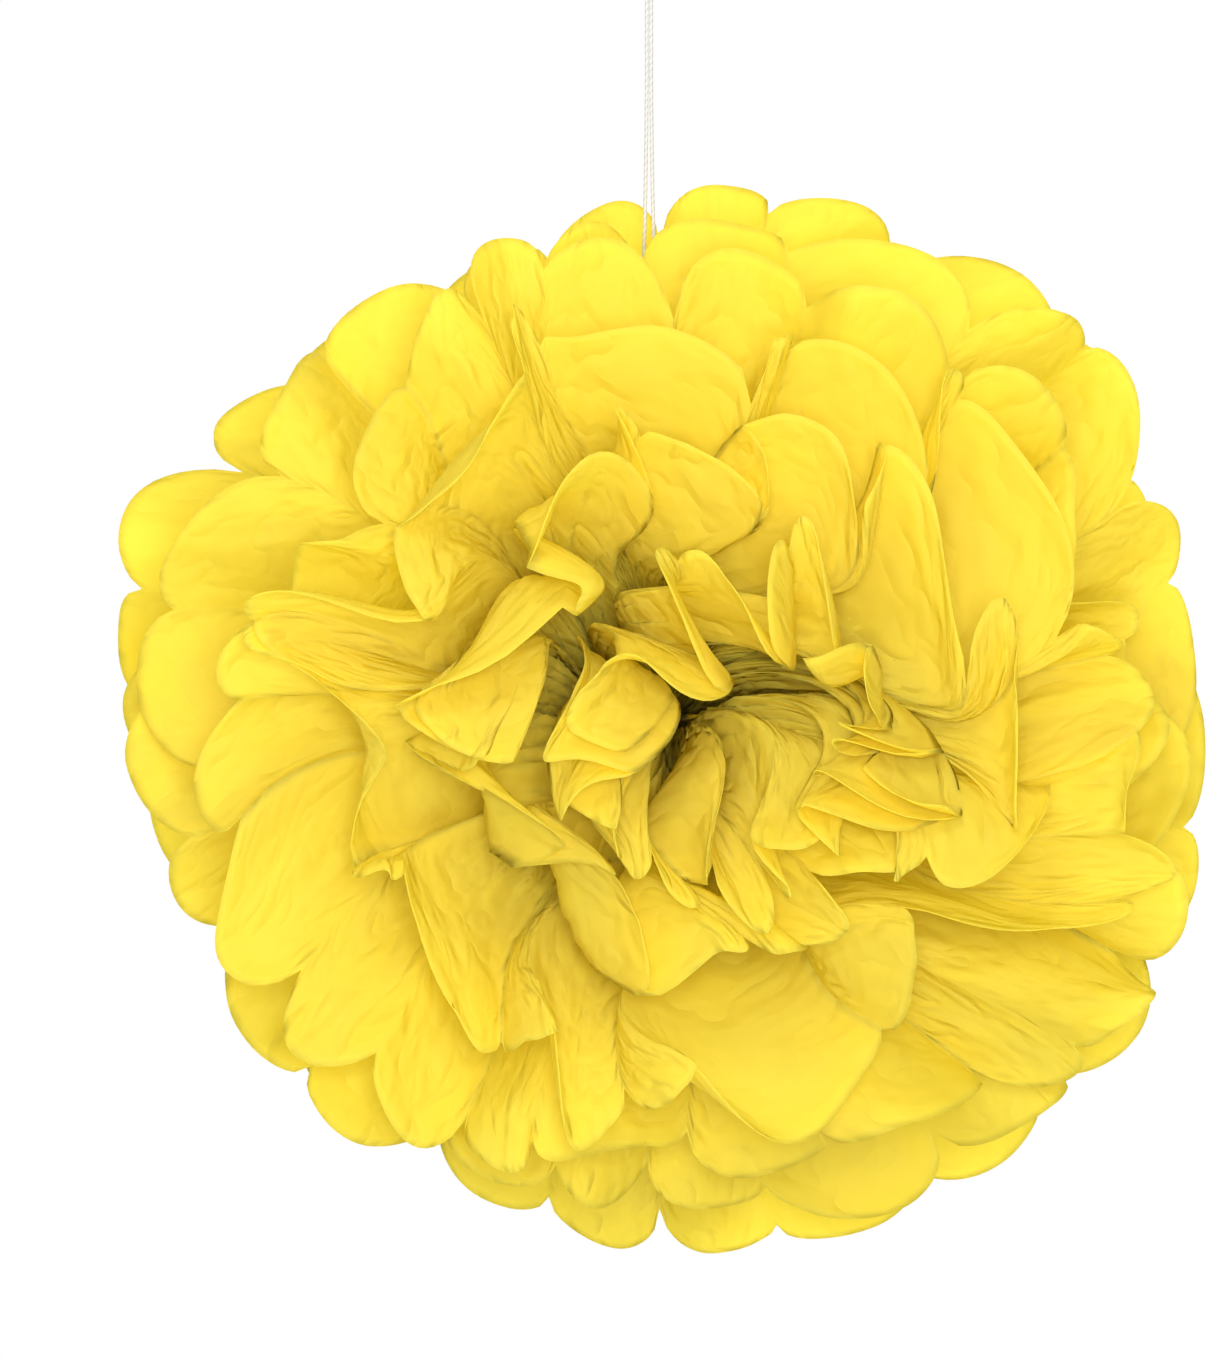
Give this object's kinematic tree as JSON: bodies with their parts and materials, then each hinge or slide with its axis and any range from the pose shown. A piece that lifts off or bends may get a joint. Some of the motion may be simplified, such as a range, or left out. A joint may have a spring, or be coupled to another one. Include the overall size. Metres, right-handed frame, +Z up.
{
  "type": "tissue paper pom pom",
  "caption": "Round hanging decoration of scalloped, pleated tissue paper sheets gathered at the middle and fanned into a ball, on a doubled string with a loop.",
  "frame": {"origin": "top of the hanging loop, where the pom pom is hung up; the middle of the paper ball is 155 mm below it", "axes": "+Z up along the taut string, -Y towards the side from which the stack of sheets is seen face on, +X to the right of that view"},
  "size_m": [0.2031, 0.2028, 0.2556],
  "materials": {
    "tissue": "matt translucent yellow tissue paper",
    "tie_wire": "thin bare wire",
    "string": "twisted white cotton"
  },
  "bodies": {
    "root": {"tissue_sheet_1": "tissue", "tissue_sheet_2": "tissue", "tissue_sheet_3": "tissue", "tissue_sheet_4": "tissue", "tissue_sheet_5": "tissue", "tissue_sheet_6": "tissue", "tissue_sheet_7": "tissue", "tissue_sheet_8": "tissue", "tissue_sheet_9": "tissue", "tissue_sheet_10": "tissue", "centre_tie": "tie_wire", "hanging_string": "string", "loop_knot": "string"}
  },
  "joints": []
}
